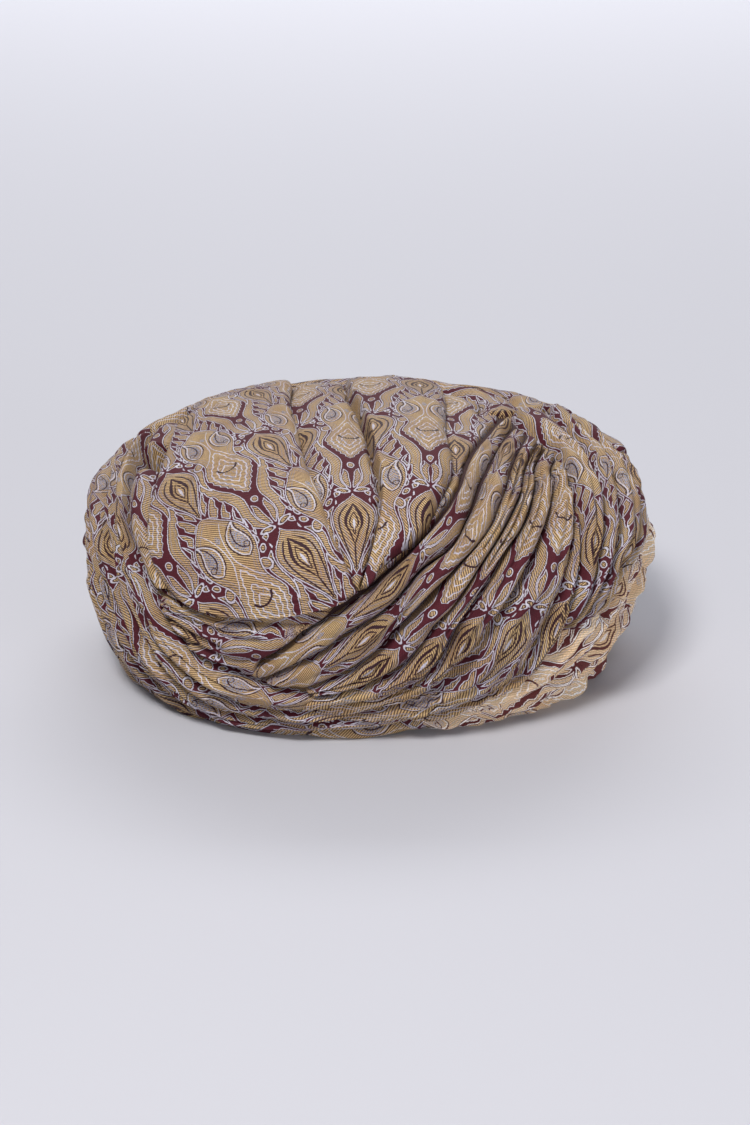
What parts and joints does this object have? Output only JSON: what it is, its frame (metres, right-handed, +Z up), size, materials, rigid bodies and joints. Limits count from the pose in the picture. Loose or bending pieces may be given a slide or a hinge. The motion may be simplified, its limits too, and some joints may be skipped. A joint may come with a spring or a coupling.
{
  "type": "tied turban pagri",
  "caption": "Tied brocade turban lying on its rim: a hollow oval winding with a pleated crown, diagonal front folds and wraps running round the sides and back.",
  "frame": {"origin": "on the floor, at the middle of the turban's footprint", "axes": "+Z up, +X towards the wearer's left side as seen from the front (the viewer's right), -Y towards the pleated front"},
  "size_m": [0.2881, 0.269, 0.1301],
  "materials": {
    "brocade": "woven gold and pale grey paisley brocade on maroon",
    "light_brocade": "the same brocade, lighter and more golden",
    "inner_cloth": "plain shaded cloth"
  },
  "bodies": {
    "root": {"inner_winding": "inner_cloth", "crown_left_panel": "brocade", "crown_valley_pleat": "brocade", "crown_middle_pleat": "brocade", "crown_right_pleat": "brocade", "right_front_wrap": "brocade", "right_outer_wrap": "brocade", "lower_right_wrap": "light_brocade", "lower_left_wrap": "brocade", "upper_left_wrap": "brocade", "side_tuck_bulge": "brocade", "side_tuck_loop": "brocade", "back_upper_wrap": "brocade", "back_middle_wrap": "brocade", "back_lower_wrap": "brocade"}
  },
  "joints": []
}
